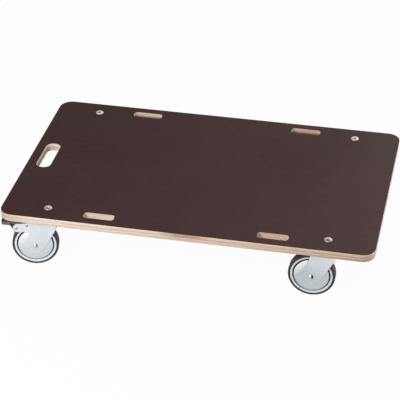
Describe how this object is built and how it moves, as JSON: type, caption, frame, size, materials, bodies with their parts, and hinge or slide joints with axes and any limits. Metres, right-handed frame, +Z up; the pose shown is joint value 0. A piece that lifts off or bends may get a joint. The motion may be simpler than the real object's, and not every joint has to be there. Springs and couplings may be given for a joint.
{
  "type": "crate dolly",
  "caption": "Low rectangular plywood deck on swivelling plate casters, with a hand hole, strap slots and foot brakes, for rolling crates and heavy loads over flat floors.",
  "frame": {"origin": "on the floor, under the middle of the deck", "axes": "+X along the deck's length, with the hand hole at the -X end; +Y across the deck; +Z up from the floor"},
  "size_m": [0.8006, 0.5, 0.1389],
  "materials": {
    "plywood": "sawn and lightly sanded birch plywood edge",
    "phenolic_film": "dark brown phenolic film, smooth satin",
    "bolt_steel": "bright zinc-plated steel",
    "zinc_steel": "bright zinc-plated pressed steel",
    "zinc_guard": "zinc-plated sheet, satin",
    "rivet_steel": "zinc-plated steel rivet",
    "ball_steel": "polished bearing steel, greased",
    "shoe_steel": "spring steel",
    "slide_nylon": "natural nylon",
    "rim_plastic": "light grey moulded polypropylene",
    "tyre_rubber": "dark grey thermoplastic rubber",
    "pedal_plastic": "black moulded nylon"
  },
  "bodies": {
    "deck": {"deck_board": "plywood", "top_film": "phenolic_film", "bottom_film": "phenolic_film", "deck_bolts": "bolt_steel", "lock_nuts": "bolt_steel", "head_plates": "zinc_steel", "king_sleeves": "bolt_steel", "swivel_balls": "ball_steel", "slide_rings": "slide_nylon", "retaining_washers": "zinc_steel"},
    "front_left_caster": {"front_left_fork": "zinc_steel", "front_left_thread_guards": "zinc_guard", "front_left_axle": "rivet_steel", "front_left_brake_pins": "rivet_steel"},
    "front_left_wheel": {"front_left_rim": "rim_plastic", "front_left_tyre": "tyre_rubber"},
    "front_left_pedal": {"front_left_brake_pedal": "pedal_plastic"},
    "front_left_shoe": {"front_left_brake_shoe": "shoe_steel"},
    "front_right_caster": {"front_right_fork": "zinc_steel", "front_right_thread_guards": "zinc_guard", "front_right_axle": "rivet_steel"},
    "front_right_wheel": {"front_right_rim": "rim_plastic", "front_right_tyre": "tyre_rubber"},
    "back_left_caster": {"back_left_fork": "zinc_steel", "back_left_thread_guards": "zinc_guard", "back_left_axle": "rivet_steel", "back_left_brake_pins": "rivet_steel"},
    "back_left_wheel": {"back_left_rim": "rim_plastic", "back_left_tyre": "tyre_rubber"},
    "back_left_pedal": {"back_left_brake_pedal": "pedal_plastic"},
    "back_left_shoe": {"back_left_brake_shoe": "shoe_steel"},
    "back_right_caster": {"back_right_fork": "zinc_steel", "back_right_thread_guards": "zinc_guard", "back_right_axle": "rivet_steel"},
    "back_right_wheel": {"back_right_rim": "rim_plastic", "back_right_tyre": "tyre_rubber"}
  },
  "joints": [
    {"name": "front_left_swivel", "type": "hinge", "parent": "deck", "child": "front_left_caster", "pos_m": [-0.3, -0.21, 0.11], "axis": [0, 0, 1], "continuous": true},
    {"name": "front_left_roll", "type": "hinge", "parent": "front_left_caster", "child": "front_left_wheel", "pos_m": [-0.33032, -0.21644, 0.05], "axis": [-0.2079, 0.9781, 0], "continuous": true},
    {"name": "front_left_brake_pedal_tilt", "type": "hinge", "parent": "front_left_caster", "child": "front_left_pedal", "pos_m": [-0.36795, -0.22444, 0.09552], "axis": [0.2079, -0.9781, 0], "range_deg": [0, 22]},
    {"name": "front_left_brake_shoe_tilt", "type": "hinge", "parent": "front_left_caster", "child": "front_left_shoe", "pos_m": [-0.34538, -0.21965, 0.10197], "axis": [0.2079, -0.9781, 0], "range_deg": [0, 3.2]},
    {"name": "front_right_swivel", "type": "hinge", "parent": "deck", "child": "front_right_caster", "pos_m": [0.3, -0.21, 0.11], "axis": [0, 0, 1], "continuous": true},
    {"name": "front_right_roll", "type": "hinge", "parent": "front_right_caster", "child": "front_right_wheel", "pos_m": [0.269, -0.21, 0.05], "axis": [0, 1, 0], "continuous": true},
    {"name": "back_left_swivel", "type": "hinge", "parent": "deck", "child": "back_left_caster", "pos_m": [-0.3, 0.21, 0.11], "axis": [0, 0, 1], "continuous": true},
    {"name": "back_left_roll", "type": "hinge", "parent": "back_left_caster", "child": "back_left_wheel", "pos_m": [-0.331, 0.21, 0.05], "axis": [0, 1, 0], "continuous": true},
    {"name": "back_left_brake_pedal_tilt", "type": "hinge", "parent": "back_left_caster", "child": "back_left_pedal", "pos_m": [-0.36947, 0.21, 0.09552], "axis": [0, -1, 0], "range_deg": [0, 22]},
    {"name": "back_left_brake_shoe_tilt", "type": "hinge", "parent": "back_left_caster", "child": "back_left_shoe", "pos_m": [-0.34639, 0.21, 0.10197], "axis": [0, -1, 0], "range_deg": [0, 3.2]},
    {"name": "back_right_swivel", "type": "hinge", "parent": "deck", "child": "back_right_caster", "pos_m": [0.3, 0.21, 0.11], "axis": [0, 0, 1], "continuous": true},
    {"name": "back_right_roll", "type": "hinge", "parent": "back_right_caster", "child": "back_right_wheel", "pos_m": [0.269, 0.21, 0.05], "axis": [0, 1, 0], "continuous": true}
  ],
  "couplings": [
    {"joint": "front_left_brake_shoe_tilt", "follows": "front_left_brake_pedal_tilt", "ratio": 0.1454},
    {"joint": "back_left_brake_shoe_tilt", "follows": "back_left_brake_pedal_tilt", "ratio": 0.1454}
  ]
}
